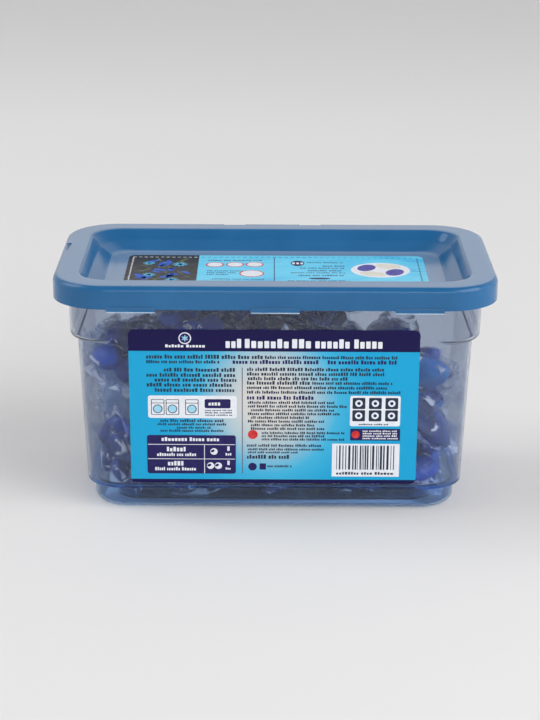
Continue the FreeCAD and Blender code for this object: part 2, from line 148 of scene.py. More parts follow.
# Screen colours of the liquids, deeper and paler, and how opaque each is
LIQUID_TONES = {
    "blue": ((2, 44, 136), (16, 92, 206), 1),
    "royal": ((2, 28, 76), (8, 66, 156), 1),
    "clear": ((66, 92, 144), (136, 160, 198), 0.8),
    "pale": ((6, 96, 184), (50, 150, 220), 0.95),
    "milky": ((110, 140, 186), (180, 198, 220), 0.9),
}
# Pale tone of the painted highlights along the film's folds on the liquid
FOLD_GLINT_TONE = (206, 212, 226)


def screen_colour(red, green, blue):
    """Linear colour of a screen colour given from 0 to 255."""
    parts = []
    for part in (red, green, blue):
        share = part / 255
        parts.append(share / 12.92 if share <= 0.04045 else ((share + 0.055) / 1.055) ** 2.4)
    return (*parts, 1.0)


# Materials


def new_finish(name):
    """New material, its node tree and its Principled shader."""
    finish = bpy.data.materials.new(name)
    finish.use_nodes = True
    tree = finish.node_tree
    return finish, tree, tree.nodes["Principled BSDF"]


def add_node(tree, kind, **settings):
    """New node of a kind, with its settings."""
    node = tree.nodes.new(kind)
    for key, value in settings.items():
        setattr(node, key, value)
    return node


def place_on(tree, stretch=(1, 1, 1)):
    """Object coordinates, stretched."""
    where = add_node(tree, "ShaderNodeTexCoord")
    mapping = add_node(tree, "ShaderNodeMapping")
    mapping.inputs["Scale"].default_value = stretch
    tree.links.new(where.outputs["Object"], mapping.inputs["Vector"])
    return mapping.outputs["Vector"]


def speckle(tree, scale, detail=4.0, roughness=0.5, distortion=0.0, stretch=(1, 1, 1)):
    """Noise value over the piece."""
    noise = add_node(tree, "ShaderNodeTexNoise")
    noise.inputs["Scale"].default_value = scale
    noise.inputs["Detail"].default_value = detail
    noise.inputs["Roughness"].default_value = roughness
    noise.inputs["Distortion"].default_value = distortion
    tree.links.new(place_on(tree, stretch), noise.inputs["Vector"])
    return noise.outputs["Fac"]


def graded(tree, value, stops, interpolation="LINEAR"):
    """Colour ramp from a list of (position, colour)."""
    ramp = add_node(tree, "ShaderNodeValToRGB")
    ramp.color_ramp.interpolation = interpolation
    elements = ramp.color_ramp.elements
    elements[0].position, elements[0].color = stops[0]
    elements[1].position, elements[1].color = stops[-1]
    for position, colour in stops[1:-1]:
        elements.new(position).color = colour
    tree.links.new(value, ramp.inputs["Fac"])
    return ramp.outputs["Color"]


def spread(tree, value, low, high, from_low=0.3, from_high=0.7):
    """Value moved from one range to another."""
    reach = add_node(tree, "ShaderNodeMapRange")
    reach.inputs["From Min"].default_value = from_low
    reach.inputs["From Max"].default_value = from_high
    reach.inputs["To Min"].default_value = low
    reach.inputs["To Max"].default_value = high
    tree.links.new(value, reach.inputs["Value"])
    return reach.outputs["Result"]


def relief(tree, shader, height, strength, depth):
    """Fine relief from a height value."""
    bump = add_node(tree, "ShaderNodeBump")
    bump.inputs["Strength"].default_value = strength
    bump.inputs["Distance"].default_value = depth
    tree.links.new(height, bump.inputs["Height"])
    tree.links.new(bump.outputs["Normal"], shader.inputs["Normal"])


def mixed(tree, share, first, second):
    """Mix Shader between two shader outputs."""
    mix = add_node(tree, "ShaderNodeMixShader")
    tree.links.new(share, mix.inputs["Fac"])
    tree.links.new(first, mix.inputs[1])
    tree.links.new(second, mix.inputs[2])
    return mix.outputs["Shader"]


def mixed_colour(tree, share, first, second):
    """Mix of a linked colour with another one, linked or plain."""
    mix = add_node(tree, "ShaderNodeMix", data_type="RGBA")
    tree.links.new(share, mix.inputs["Factor"])
    tree.links.new(first, mix.inputs["A"])
    if isinstance(second, tuple):
        mix.inputs["B"].default_value = second
    else:
        tree.links.new(second, mix.inputs["B"])
    return mix.outputs["Result"]


def axes_of(tree, vector):
    """X, Y and Z outputs of a vector."""
    apart = add_node(tree, "ShaderNodeSeparateXYZ")
    tree.links.new(vector, apart.inputs["Vector"])
    return apart.outputs


def object_axes(tree):
    """X, Y and Z of the Object coordinates."""
    return axes_of(tree, add_node(tree, "ShaderNodeTexCoord").outputs["Object"])


def facing_axes(tree):
    """X, Y and Z of the way that the surface faces."""
    return axes_of(tree, add_node(tree, "ShaderNodeNewGeometry").outputs["Normal"])


def edge_share(tree, blend, weight, base):
    """Share that grows where the surface turns edge-on."""
    edge_on = add_node(tree, "ShaderNodeLayerWeight")
    edge_on.inputs["Blend"].default_value = blend
    share = add_node(tree, "ShaderNodeMath", operation="MULTIPLY_ADD")
    share.inputs[1].default_value = weight
    tree.links.new(edge_on.outputs["Facing"], share.inputs[0])
    tree.links.new(base, share.inputs[2])
    return share.outputs["Value"]


def uneven_gloss(tree, shader, scale, detail, least, most):
    """Roughness that wanders between two values."""
    wander = spread(tree, speckle(tree, scale, detail), least, most)
    tree.links.new(wander, shader.inputs["Roughness"])


def lid_plastic():
    """Blue moulded plastic; its level faces carry a painted pale sheen, standing in for the
    reflection of the bright backdrop.
    """
    finish, tree, shader = new_finish("satin_blue_lid")
    tone = graded(
        tree,
        speckle(tree, 35, 5.0),
        [(0.3, screen_colour(29, 91, 139)), (0.7, screen_colour(37, 100, 149))],
    )
    # Pale on faces that look up: a painted sheen.
    level = spread(tree, facing_axes(tree)["Z"], 0, 0.26, 0.88, 0.97)
    with_painted_sheen = mixed_colour(tree, level, tone, screen_colour(190, 204, 220))
    tree.links.new(with_painted_sheen, shader.inputs["Base Color"])
    uneven_gloss(tree, shader, 220, 3.0, 0.13, 0.2)
    relief(tree, shader, speckle(tree, 60, 2.0), 0.05, 0.0002)
    shader.inputs["Specular IOR Level"].default_value = 0.34
    return finish


def tub_plastic():
    """Clear wall: tinted glass to the eye and a light tint to the lamps; its tint is painted
    bluer and darker at the foot as painted shade, with a saturated blue band at the ledge as a
    painted highlight.
    """
    finish, tree, shader = new_finish("clear_tub")
    # Darker and bluer below the ledge: painted shade; the saturated blue band at the ledge is a
    # painted highlight.
    tint_with_painted_foot_light = graded(
        tree,
        spread(tree, object_axes(tree)["Z"], 0, 1, 0, 20 * MM),
        [
            (0.0, screen_colour(160, 188, 220)),
            (0.5, screen_colour(172, 198, 226)),
            (0.56, screen_colour(50, 118, 204)),
            (0.62, screen_colour(70, 142, 216)),
            (0.68, screen_colour(205, 213, 226)),
        ],
    )
    tree.links.new(tint_with_painted_foot_light, shader.inputs["Base Color"])
    shader.inputs["Transmission Weight"].default_value = 1.0
    shader.inputs["IOR"].default_value = 1.46
    shader.inputs["Specular IOR Level"].default_value = 0.1
    flow = speckle(tree, 28, 4.0, 0.5, 0.4, (1, 1, 0.35))
    tree.links.new(spread(tree, flow, 0.01, 0.05), shader.inputs["Roughness"])
    relief(tree, shader, flow, 0.2, 0.0006)
    haze = add_node(tree, "ShaderNodeBsdfPrincipled")
    haze.inputs["Base Color"].default_value = screen_colour(142, 158, 184)
    haze.inputs["Roughness"].default_value = 0.35
    thick = edge_share(tree, 0.2, 0.2, spread(tree, flow, 0.0, 0.018))
    cloudy = mixed(tree, thick, shader.outputs["BSDF"], haze.outputs["BSDF"])
    tint = add_node(tree, "ShaderNodeBsdfTransparent")
    tint.inputs["Color"].default_value = (0.86, 0.9, 0.94, 1)
    rays = add_node(tree, "ShaderNodeLightPath")
    seen = mixed(tree, rays.outputs["Is Shadow Ray"], cloudy, tint.outputs["BSDF"])
    tree.links.new(seen, tree.nodes["Material Output"].inputs["Surface"])
    return finish


def front_label_print():
    """Cyan field with a pale glow, a navy header and a navy foot line; pale at the back."""
    finish, tree, shader = new_finish("front_label_print")
    where = add_node(tree, "ShaderNodeTexCoord")
    glow = add_node(tree, "ShaderNodeMapping", vector_type="TEXTURE")
    glow.inputs["Location"].default_value = (-0.003, -0.0498, 0.056)
    glow.inputs["Scale"].default_value = (0.05, 0.5, 0.056)
    tree.links.new(where.outputs["Object"], glow.inputs["Vector"])
    ball = add_node(tree, "ShaderNodeTexGradient", gradient_type="QUADRATIC_SPHERE")
    tree.links.new(glow.outputs["Vector"], ball.inputs["Vector"])
    field = graded(
        tree,
        ball.outputs["Fac"],
        [
            (0.0, screen_colour(24, 162, 211)),
            (0.12, screen_colour(66, 178, 218)),
            (0.34, screen_colour(174, 198, 208)),
            (0.6, screen_colour(211, 210, 207)),
        ],
    )
    low, high = 10, 100
    navy_bands = graded(
        tree,
        spread(tree, axes_of(tree, where.outputs["Object"])["Z"], 0, 1, low * MM, high * MM),
        [
            (0.0, (1, 1, 1, 1)),
            ((FOOT_LINE_TOP - low) / (high - low), (0, 0, 0, 1)),
            ((HEADER_FOOT - low) / (high - low), (1, 1, 1, 1)),
        ],
        "CONSTANT",
    )
    front = mixed_colour(tree, navy_bands, field, screen_colour(16, 9, 70))
    turned_back = spread(tree, facing_axes(tree)["Y"], 0, 1, 0.4, 0.6)
    both = mixed_colour(tree, turned_back, front, screen_colour(214, 220, 228))
    tree.links.new(both, shader.inputs["Base Color"])
    uneven_gloss(tree, shader, 300, 3.0, 0.38, 0.5)
    shader.inputs["Specular IOR Level"].default_value = 0.2
    relief(tree, shader, speckle(tree, 120, 3.0), 0.1, 0.0002)
    return finish


def lid_label_print():
    """Cyan field with pale and deeper waves, and a dark field at its left."""
    finish, tree, shader = new_finish("lid_label_print")
    water = graded(
        tree,
        speckle(tree, 26, 1.5, 0.4, 2.2, (0.35, 1, 1)),
        [
            (0.3, screen_colour(70, 186, 232)),
            (0.44, screen_colour(96, 206, 242)),
            (0.56, screen_colour(112, 212, 244)),
            (0.62, screen_colour(60, 178, 228)),
            (0.66, screen_colour(104, 208, 242)),
        ],
    )
    dusk = graded(
        tree,
        speckle(tree, 60, 5.0, 0.6, 0.8),
        [
            (0.3, screen_colour(14, 14, 18)),
            (0.55, screen_colour(34, 34, 28)),
            (0.8, screen_colour(16, 26, 64)),
        ],
    )
    side = add_node(tree, "ShaderNodeMath", operation="GREATER_THAN")
    side.inputs[1].default_value = DARK_FIELD_END * MM
    tree.links.new(object_axes(tree)["X"], side.inputs[0])
    both = mixed_colour(tree, side.outputs["Value"], dusk, water)
    tree.links.new(both, shader.inputs["Base Color"])
    uneven_gloss(tree, shader, 260, 3.0, 0.3, 0.42)
    shader.inputs["Specular IOR Level"].default_value = 0.22
    relief(tree, shader, speckle(tree, 90, 3.0), 0.1, 0.0002)
    return finish


def ink(name, deep, pale):
    """Printing ink with a faint mottle."""
    finish, tree, shader = new_finish(name)
    mottle = speckle(tree, 500, 2.0)
    tone = graded(tree, mottle, [(0.35, screen_colour(*deep)), (0.7, screen_colour(*pale))])
    tree.links.new(tone, shader.inputs["Base Color"])
    uneven_gloss(tree, shader, 320, 2.0, 0.36, 0.48)
    shader.inputs["Specular IOR Level"].default_value = 0.2
    return finish


def pod_liquid(name, deep, pale, opacity):
    """Coloured liquid under a glossy film, with pale lines here and there along the folds:
    painted highlights of the film's creases.
    """
    finish, tree, shader = new_finish(name)
    swirl = speckle(tree, 60, 3.0, 0.5, 0.6)
    tone = graded(tree, swirl, [(0.36, screen_colour(*deep)), (0.64, screen_colour(*pale))])
    folds = speckle(tree, 130, 3.0, 0.55, 2.5)
    # Pale lines along the fold ridges: painted highlights of the film's creases.
    fold_glint_line = graded(
        tree, folds, [(0.485, (0, 0, 0, 1)), (0.5, (1, 1, 1, 1)), (0.515, (0, 0, 0, 1))]
    )
    share = add_node(tree, "ShaderNodeMath", operation="MULTIPLY")
    tree.links.new(fold_glint_line, share.inputs[0])
    tree.links.new(spread(tree, speckle(tree, 45, 2.0), 0.0, 0.75, 0.45, 0.6), share.inputs[1])
    with_painted_glints = mixed_colour(tree, share.outputs["Value"], tone, screen_colour(*FOLD_GLINT_TONE))
    tree.links.new(with_painted_glints, shader.inputs["Base Color"])
    uneven_gloss(tree, shader, 190, 3.0, 0.05, 0.18)
    shader.inputs["Coat Weight"].default_value = 0.3
    shader.inputs["Coat Roughness"].default_value = 0.06
    shader.inputs["Specular IOR Level"].default_value = 0.35
    shader.inputs["Alpha"].default_value = opacity
    relief(tree, shader, folds, 0.5, 0.0012)
    return finish


def pod_film(name, size, least, most, from_low, from_high):
    """Clear film whose creases are painted pale as highlights, and paler where it turns edge-on.
    """
    finish, tree, shader = new_finish(name)
    crease_and_glint = speckle(tree, size, 3.0, 0.5, 1.6)
    # Pale along the creases: painted highlights of the film's folds; the same noise also gives
    # the creases' relief.
    tone = graded(
        tree, crease_and_glint, [(0.46, screen_colour(70, 110, 190)), (0.62, screen_colour(238, 240, 246))]
    )
    tree.links.new(tone, shader.inputs["Base Color"])
    shader.inputs["Roughness"].default_value = 0.06
    relief(tree, shader, crease_and_glint, 0.5, 0.0012)
    bare = add_node(tree, "ShaderNodeBsdfTransparent")
    bare.inputs["Color"].default_value = (0.95, 0.97, 0.99, 1)
    share = edge_share(tree, 0.3, 0.22, spread(tree, crease_and_glint, least, most, from_low, from_high))
    seen = mixed(tree, share, bare.outputs["BSDF"], shader.outputs["BSDF"])
    tree.links.new(seen, tree.nodes["Material Output"].inputs["Surface"])
    return finish


# Modelling steps


def clear_selection():
    """Leave edit mode and select nothing."""
    if bpy.context.mode != "OBJECT":
        bpy.ops.object.mode_set(mode="OBJECT")
    bpy.ops.object.select_all(action="DESELECT")


def open_piece(name):
    """New empty piece, open in edit mode."""
    clear_selection()
    piece = bpy.data.objects.new(name, bpy.data.meshes.new(name))
    bpy.context.scene.collection.objects.link(piece)
    bpy.context.view_layer.objects.active = piece
    piece.select_set(True)
    bpy.ops.object.mode_set(mode="EDIT")
    return piece


def make_active(piece):
    """Select one piece alone."""
    clear_selection()
    bpy.context.view_layer.objects.active = piece
    piece.select_set(True)


def give_finish(piece, *finishes):
    """Give a piece these materials and no others."""
    piece.data.materials.clear()
    for finish in finishes:
        piece.data.materials.append(finish)


def plate(left, right, low, high, corner=0.0):
    """Flat rectangle of ink, with round corners when asked."""
    middle = ((left + right) / 2 * MM, (low + high) / 2 * MM, 0)
    bpy.ops.mesh.primitive_plane_add(size=1, location=middle)
    size = ((right - left) * MM, (high - low) * MM, 1)
    bpy.ops.transform.resize(value=size, center_override=middle)
    if corner:
        bpy.ops.mesh.bevel(offset=corner * MM, segments=4, affect="VERTICES")


def disc(x, y, radius, wide=1.0, high=1.0, turn=0.0):
    """Flat disc or oval of ink."""
    middle = (x * MM, y * MM, 0)
    bpy.ops.mesh.primitive_circle_add(
        vertices=28, radius=radius * MM, fill_type="NGON", location=middle
    )
    if wide != high:
        bpy.ops.transform.resize(value=(wide, high, 1), center_override=middle)
    if turn:
        bpy.ops.transform.rotate(
            value=math.radians(-turn), orient_axis="Z", center_override=middle
        )


def row_of_marks(chance, left, right, low, high, pitch):
    """Row of small blocks in word-long runs, in the place of printed text."""
    x = left
    while x < right - pitch:
        for _ in range(chance.randint(3, 8)):
            wide = pitch * chance.uniform(0.5, 0.78)
            if x + wide > right:
                break
            tall = (high - low) * chance.choice((0.72, 0.8, 1.0))
            plate(x, x + wide, low, low + tall)
            x += wide + pitch * 0.25
        x += pitch * 0.55


def finish_ink(piece, thickness, finish):
    """Give the flat ink its thickness and its finish."""
    bpy.ops.mesh.select_all(action="SELECT")
    bpy.ops.mesh.extrude_region_move(
        TRANSFORM_OT_translate={"value": (0, 0, thickness * MM)}
    )
    bpy.ops.mesh.select_all(action="SELECT")
    bpy.ops.mesh.normals_make_consistent(inside=False)
    bpy.ops.object.mode_set(mode="OBJECT")
    give_finish(piece, finish)
    return piece


def lay(piece, matrix):
    """Put the flat ink on its label."""
    piece.data.transform(matrix)
    piece.data.update()


# Front label


def front_label_place():
    """Matrix from the flat artwork to the leaning face of the front label."""
    lean = math.atan(FRONT_LEAN)
    depth = FRONT_AT_LEDGE + (FRONT_LABEL_MIDDLE - LEDGE_HEIGHT) * FRONT_LEAN
    face = Vector((0, -depth * MM, FRONT_LABEL_MIDDLE * MM))
    face += Vector((0, -math.cos(lean), -math.sin(lean))) * (LABEL_THICKNESS * MM)
    return Matrix.Translation(face) @ Matrix.Rotation(math.radians(90) + lean, 4, "X")


def up(height):
    """Height above the table, as a distance along the leaning label from its middle."""
    return (height - FRONT_LABEL_MIDDLE) * FRONT_SLANT


def rows(table):
    """Rows of marks, their heights turned into distances along the leaning label."""
    return [(left, right, up(low), up(high), pitch) for left, right, low, high, pitch in table]


# Rows of marks: left, right, foot, top, width of a mark, in millimetres above the table
BOLD_NAVY_ROWS = [
    (-19.4, 20.0, 74.9, 76.9, 1.5),
    (24.2, 56.2, 74.9, 76.9, 1.5),
    (-12.8, 20.2, 57.1, 59.1, 1.5),
]
DARK_ROWS = [
    (-59.0, -5.4, 77.3, 79.3, 1.45),
    (-51.0, -17.6, 70.9, 72.8, 1.5),
    (-59.0, -17.6, 68.3, 70.2, 1.5),
    (-55.3, -17.6, 65.9, 67.8, 1.5),
    (-59.0, -17.6, 63.4, 65.3, 1.5),
    (-55.3, -17.6, 60.8, 62.7, 1.5),
    (-12.8, 50.4, 71.4, 73.1, 1.3),
    (-12.8, 52.4, 69.1, 70.8, 1.3),
    (-12.4, 33.6, 66.8, 68.5, 1.3),
    (-12.8, 16.4, 64.6, 66.4, 1.4),
    (-53.0, -23.6, 45.6, 47.0, 1.2),
    (-12.8, 23.4, 33.2, 34.5, 1.1),
    (-12.8, 8.0, 27.0, 29.0, 1.5),
    (-3.2, 8.8, 22.6, 23.9, 1.0),
]
THIN_ROWS = [
    (-4.6, 58.0, 77.4, 79.0, 1.15),
    (-59.0, -25.0, 75.0, 76.6, 1.15),
    (17.2, 54.8, 64.7, 66.2, 1.1),
    (-12.8, 52.4, 62.4, 63.9, 1.1),
    (-12.8, 58.0, 60.1, 61.6, 1.1),
    (-12.4, 29.0, 55.0, 56.3, 1.0),
    (-12.4, 33.4, 53.1, 54.4, 1.0),
    (-11.0, 27.6, 51.2, 52.5, 1.0),
    (-12.4, 30.4, 49.3, 50.6, 1.0),
    (-11.0, 16.0, 47.4, 48.7, 1.0),
    (-12.4, 23.0, 45.5, 46.8, 1.0),
    (-11.0, 19.0, 43.6, 44.9, 1.0),
    (-11.0, 24.0, 41.8, 43.1, 1.0),
    (-6.0, 32.6, 39.7, 40.9, 0.95),
    (-6.0, 24.0, 38.1, 39.3, 0.95),
    (-6.0, 33.0, 36.4, 37.6, 0.95),
    (-12.4, 23.8, 31.3, 32.4, 0.9),
    (-12.4, 11.0, 29.8, 30.8, 0.9),
    (-54.4, -22.0, 43.9, 45.1, 1.0),
    (-45.4, -29.6, 42.2, 43.4, 1.0),
    (-53.0, -23.4, 40.6, 41.8, 1.0),
]
WHITE_TABLE_ROWS = [
    (-52.6, -24.8, 35.9, 37.8, 1.6),
    (-50.2, -41.4, 30.6, 32.9, 1.7),
    (-54.8, -36.6, 28.2, 29.9, 1.2),
    (-49.8, -41.4, 23.3, 25.6, 1.7),
    (-55.8, -36.0, 20.8, 22.5, 1.2),
]


# Words of the title, left and right, and the usual width of one block in them
TITLE_WORDS = [(-22.6, -14.8), (-13.8, 7.0), (7.8, 17.2), (18.4, 34.8), (36.2, 49.8)]
TITLE_PITCH = 2.95

# Round mark in the header
MARK_X = -41.2
MARK_HEIGHT = 87.4

# Three machine drawings, and the middle of each door
MACHINE_LEFTS = (-57.2, -50.4, -41.4)
MACHINE_MIDDLE = 3.1
DOOR_HEIGHT = 52.2

# Left and top of each sign panel, and its middle from its left
SIGN_PANELS = [(36.0 + 7.6 * column, top) for column in range(3) for top in (52.0, 58.2)]
SIGN_MIDDLE = 2.95

# Pod drawings in the table
TABLE_PODS = ((-28.2, 30.6), (-29.8, 23.3), (-26.2, 23.3))


def front_panels(inks):
    """White panels behind the machine drawings, the sign panels and the bars."""
    panels = open_piece("front_print_panels")
    plate(-58.6, -17.5, up(47.6), up(58.9), 1.2)
    plate(34.9, 58.2, up(43.9), up(59.2), 0.9)
    plate(26.9, 58.4, up(18.0), up(34.9))
    return finish_ink(panels, PANEL_INK, inks["white"])


def front_navy(chance, inks):
    """Navy table and boxes, small shapes and bold rows."""
    navy = open_piece("front_print_navy")
    plate(-59.4, -18.0, up(19.2), up(38.9), 1.2)
    plate(-32.4, -20.4, up(52.6), up(57.2), 0.8)
    plate(35.2, 58.4, up(36.6), up(42.6), 0.3)
    disc(-10.2, up(22.9), 2.0)
    plate(-6.9, -3.9, up(21.4), up(24.6), 0.3)
    for row in rows(BOLD_NAVY_ROWS):
        row_of_marks(chance, *row)
    return finish_ink(navy, MAIN_INK, inks["navy"])


def front_dark(chance, inks):
    """Dark sign panels, rows, bars and machine outlines."""
    dark = open_piece("front_print_dark")
    for left, top in SIGN_PANELS:
        plate(left, left + 5.9, up(top - 5.6), up(top), 0.5)
    for row in rows(DARK_ROWS + THIN_ROWS):
        row_of_marks(chance, *row)
    row_of_marks(chance, 39.0, 53.4, up(44.4), up(45.2), 0.9)
    x = 29.0
    while x < 55.6:
        wide = chance.choice((0.3, 0.45, 0.7, 1.0))
        plate(x, x + wide, up(21.6), up(34.0))
        x += wide + chance.choice((0.35, 0.5, 0.9))
    row_of_marks(chance, 29.0, 56.0, up(19.0), up(20.4), 1.6)
    for left in MACHINE_LEFTS:
        plate(left, left + 6.2, up(49.2), up(57.0), 0.4)
    for number in range(3):
        down = number * 1.2
        row_of_marks(chance, -32.2, -19.4, up(51.2 - down), up(51.9 - down), 0.8)
    return finish_ink(dark, MAIN_INK, inks["dark"])


def front_divider(inks):
    """Thin upright line between the two columns."""
    divider = open_piece("front_print_divider")
    plate(-15.2, -14.8, up(19.4), up(73.0))
    return finish_ink(divider, MAIN_INK, inks["mauve"])


def title_blocks(chance):
    """Rounded blocks in the place of the title's words."""
    for left, right in TITLE_WORDS:
        count = max(2, round((right - left) / TITLE_PITCH))
        pitch = (right - left) / count
        for number in range(count):
            start = left + number * pitch
            top = chance.choice((86.0, 86.2, 87.2))
            plate(start, start + pitch * 0.74, up(82.7), up(top), 0.35)


def front_white(chance, inks):
    """White title, round mark, table lines and rows, machine faces and sign rings."""
    white = open_piece("front_print_white")
    title_blocks(chance)
    disc(MARK_X, up(MARK_HEIGHT), 2.9)
    row_of_marks(chance, -50.2, -31.8, up(82.9), up(84.3), 1.6)
    plate(-59.0, -18.4, up(34.0), up(34.3))
    plate(-59.0, -18.4, up(26.6), up(26.9))
    plate(-32.8, -32.5, up(19.4), up(34.2))
    for row in rows(WHITE_TABLE_ROWS):
        row_of_marks(chance, *row)
    for x, height in TABLE_PODS:
        disc(x, up(height), 1.7)
    for height in (31.0, 23.7):
        plate(-22.0, -20.9, up(height), up(height + 2.2))
        row_of_marks(chance, -22.8, -19.8, up(height - 2.4), up(height - 1.2), 1.0)
    row_of_marks(chance, -30.6, -22.4, up(54.0), up(55.9), 1.6)
    for number in range(4):
        rise = number * 1.25
        row_of_marks(chance, 41.0, 57.4, up(37.3 + rise), up(38.1 + rise), 0.9)
    for left in MACHINE_LEFTS:
        plate(left + 0.35, left + 5.85, up(49.5), up(55.0), 0.3)
        plate(left + 0.35, left + 5.85, up(55.3), up(56.7), 0.3)
    for left, top in SIGN_PANELS:
        disc(left + SIGN_MIDDLE, up(top - 2.8), 1.7)
    return finish_ink(white, DETAIL_INK, inks["white"])


def front_detail(inks):
    """Navy machine doors, mark centre, pod drawings and sign dots."""
    detail = open_piece("front_print_detail")
    for left in MACHINE_LEFTS:
        disc(left + MACHINE_MIDDLE, up(DOOR_HEIGHT), 2.2)
    disc(MARK_X, up(MARK_HEIGHT), 2.4)
    for x, height in ((-28.8, 30.9), (-30.4, 23.6), (-26.8, 23.6)):
        disc(x, up(height), 0.8, 1.2, 0.8, 30)
    for left, top in SIGN_PANELS:
        disc(left + SIGN_MIDDLE, up(top - 2.8), 0.8)
    return finish_ink(detail, TOP_INK, inks["navy"])


def front_red_dots(inks):
    """Two red dots."""
    red = open_piece("front_print_red_dots")
    disc(-10.1, up(39.4), 2.3)
    disc(37.7, up(39.6), 1.9)
    return finish_ink(red, TOP_INK, inks["red"])


def front_doors(inks):
    """Pale petals of the mark, and the glass of the machine doors."""
    doors = open_piece("front_print_doors")
    for turn in (90, 30, 150):
        disc(MARK_X, up(MARK_HEIGHT), 1.6, 1.0, 0.22, turn)
    for left in MACHINE_LEFTS:
        disc(left + MACHINE_MIDDLE, up(DOOR_HEIGHT), 1.8)
    return finish_ink(doors, UPPERMOST_INK, inks["cyan"])


def front_label_artwork(inks):
    """All print on the front label, flat and laid on it ink by ink."""
    chance = random.Random(7)
    pieces = [
        front_panels(inks),
        front_navy(chance, inks),
        front_dark(chance, inks),
        front_divider(inks),
        front_white(chance, inks),
        front_detail(inks),
        front_red_dots(inks),
        front_doors(inks),
    ]
    place = front_label_place()
    for piece in pieces:
        lay(piece, place)
        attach(piece, "tub")


# Lid label


# Rings: middle and radius; stars: middle and reach; rows of marks as above
RED_RINGS = [(-29.2, 12.8, 4.4), (-19.4, 13.1, 4.4), (-9.9, 13.4, 4.4), (-11.2, -3.2, 6.0)]
STARS = [(-46.0, 13.0, 4.2), (-60.0, -6.0, 3.6), (-49.0, -15.0, 3.8), (-61.0, 15.0, 3.4)]
LID_ROWS = [
    (-32.7, -5.4, 20.0, 21.6, 1.3),
    (-32.7, -12.0, 0.6, 2.2, 1.1),
    (-32.7, -18.0, -2.6, -1.2, 1.1),
    (-32.7, -22.0, -5.8, -4.4, 1.1),
    (15.5, 33.0, 16.6, 18.2, 1.2),
    (23.0, 33.6, 10.2, 12.2, 1.4),
    (12.0, 33.6, 6.4, 8.0, 1.2),
    (15.7, 33.6, 1.6, 3.4, 1.4),
    (7.6, 33.6, -2.0, -0.6, 1.2),
    (10.8, 33.0, -7.0, -5.2, 1.4),
    (-30.0, -4.0, -14.0, -12.6, 1.2),
    (-30.0, -8.0, -17.4, -16.0, 1.2),
    (6.0, 33.0, -16.4, -15.0, 1.2),
    (6.0, 28.0, -20.0, -18.6, 1.2),
]


def scatter(chance, count, across, along, radius, stretch, thin):
    """Ovals strewn over a field, each turned its own way."""
    for _ in range(count):
        x = chance.uniform(*across)
        y = chance.uniform(*along)
        size = chance.uniform(*radius)
        disc(x, y, size, chance.uniform(*stretch), thin, chance.uniform(0, 180))


def lid_stitch(inks):
    """White dashes around the dark field."""
    stitch = open_piece("lid_print_stitch")
    for number in range(12):
        left = -69.4 + number * 2.7
        plate(left, left + 1.6, 26.2, 26.9)
        plate(left, left + 1.6, -26.9, -26.2)
    for number in range(30):
        low = -25.6 + number * 1.75
        plate(-69.6, -68.9, low, low + 1.0)
    return finish_ink(stitch, PANEL_INK, inks["white"])


def lid_seam(chance, inks):
    """Navy dashes around the cyan field, its middle line, rows and dark ovals."""
    seam = open_piece("lid_print_seam")
    for number in range(36):
        left = -36.0 + number * 2.9
        plate(left, left + 1.7, 26.5, 27.0)
        plate(left, left + 1.7, -27.0, -26.5)
    for number in range(26):
        low = -25.4 + number * 2.0
        plate(69.0, 69.7, low, low + 1.0)
    plate(-0.6, -0.2, -26.0, 26.2)
    disc(10.9, 15.8, 3.3, 1.0, 1.5)
    for row in LID_ROWS:
        row_of_marks(chance, *row)
    disc(21.0, -11.6, 3.0, 1.7, 0.5)
    return finish_ink(seam, PANEL_INK, inks["navy"])


def lid_pod_drawing(inks):
    """Pale disc with two purple and two cream ovals, and three pale bars on the dark oval."""
    halo = open_piece("lid_print_pod_halo")
    disc(50.6, 4.0, 13.2, 1.08, 1.02)
    for x in (8.9, 10.9, 12.9):
        disc(x, 15.8, 0.7, 1.0, 2.6)
    finish_ink(halo, MAIN_INK, inks["white"])
    petals = open_piece("lid_print_pod_purple")
    disc(44.0, 8.0, 5.6, 1.1, 0.75, 70)
    disc(57.2, 0.0, 5.6, 1.1, 0.75, 70)
    finish_ink(petals, DETAIL_INK, inks["purple"])
    cream = open_piece("lid_print_pod_cream")
    disc(54.4, 10.8, 5.6, 1.15, 0.75, -20)
    disc(46.8, -2.8, 5.6, 1.15, 0.75, -20)
    finish_ink(cream, TOP_INK, inks["cream"])
    return [halo, petals, cream]


def lid_rings(inks):
    """Red rings with white hearts."""
    rings = open_piece("lid_print_red_rings")
    for x, y, radius in RED_RINGS:
        disc(x, y, radius)
    finish_ink(rings, MAIN_INK, inks["red"])
    hearts = open_piece("lid_print_ring_hearts")
    for x, y, radius in RED_RINGS:
        disc(x, y, radius - 0.7)
    finish_ink(hearts, DETAIL_INK, inks["white"])
    return [rings, hearts]


def lid_plants(chance, inks):
    """Leaf strokes, blue drops and pale stars on the dark field."""
    stems = open_piece("lid_print_leaf_strokes")
    scatter(chance, 34, (-66.0, -41.0), (-23.0, 23.0), (0.7, 1.1), (2.2, 3.8), 0.5)
    finish_ink(stems, PANEL_INK, inks["olive"])
    drops = open_piece("lid_print_blue_drops")
    scatter(chance, 15, (-64.5, -42.5), (-21.0, 21.0), (1.6, 3.0), (1.1, 1.7), 0.6)
    finish_ink(drops, MAIN_INK, inks["royal"])
    stars = open_piece("lid_print_pale_drops")
    for x, y, size in STARS:
        for turn in range(0, 180, 36):
            disc(x, y, size, 0.95, 0.14, turn + 9)
    finish_ink(stars, DETAIL_INK, inks["sky"])
    return [stems, drops, stars]


def lid_label_artwork(inks):
    """All print on the lid label."""
    chance = random.Random(11)
    pieces = [
        lid_stitch(inks),
        lid_seam(chance, inks),
        *lid_pod_drawing(inks),
        *lid_rings(inks),
        *lid_plants(chance, inks),
    ]
    place = Matrix.Translation((0, 0, (RECESS_FLOOR + LABEL_THICKNESS) * MM))
    for piece in pieces:
        lay(piece, place)
        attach(piece, "lid")


# Lid details


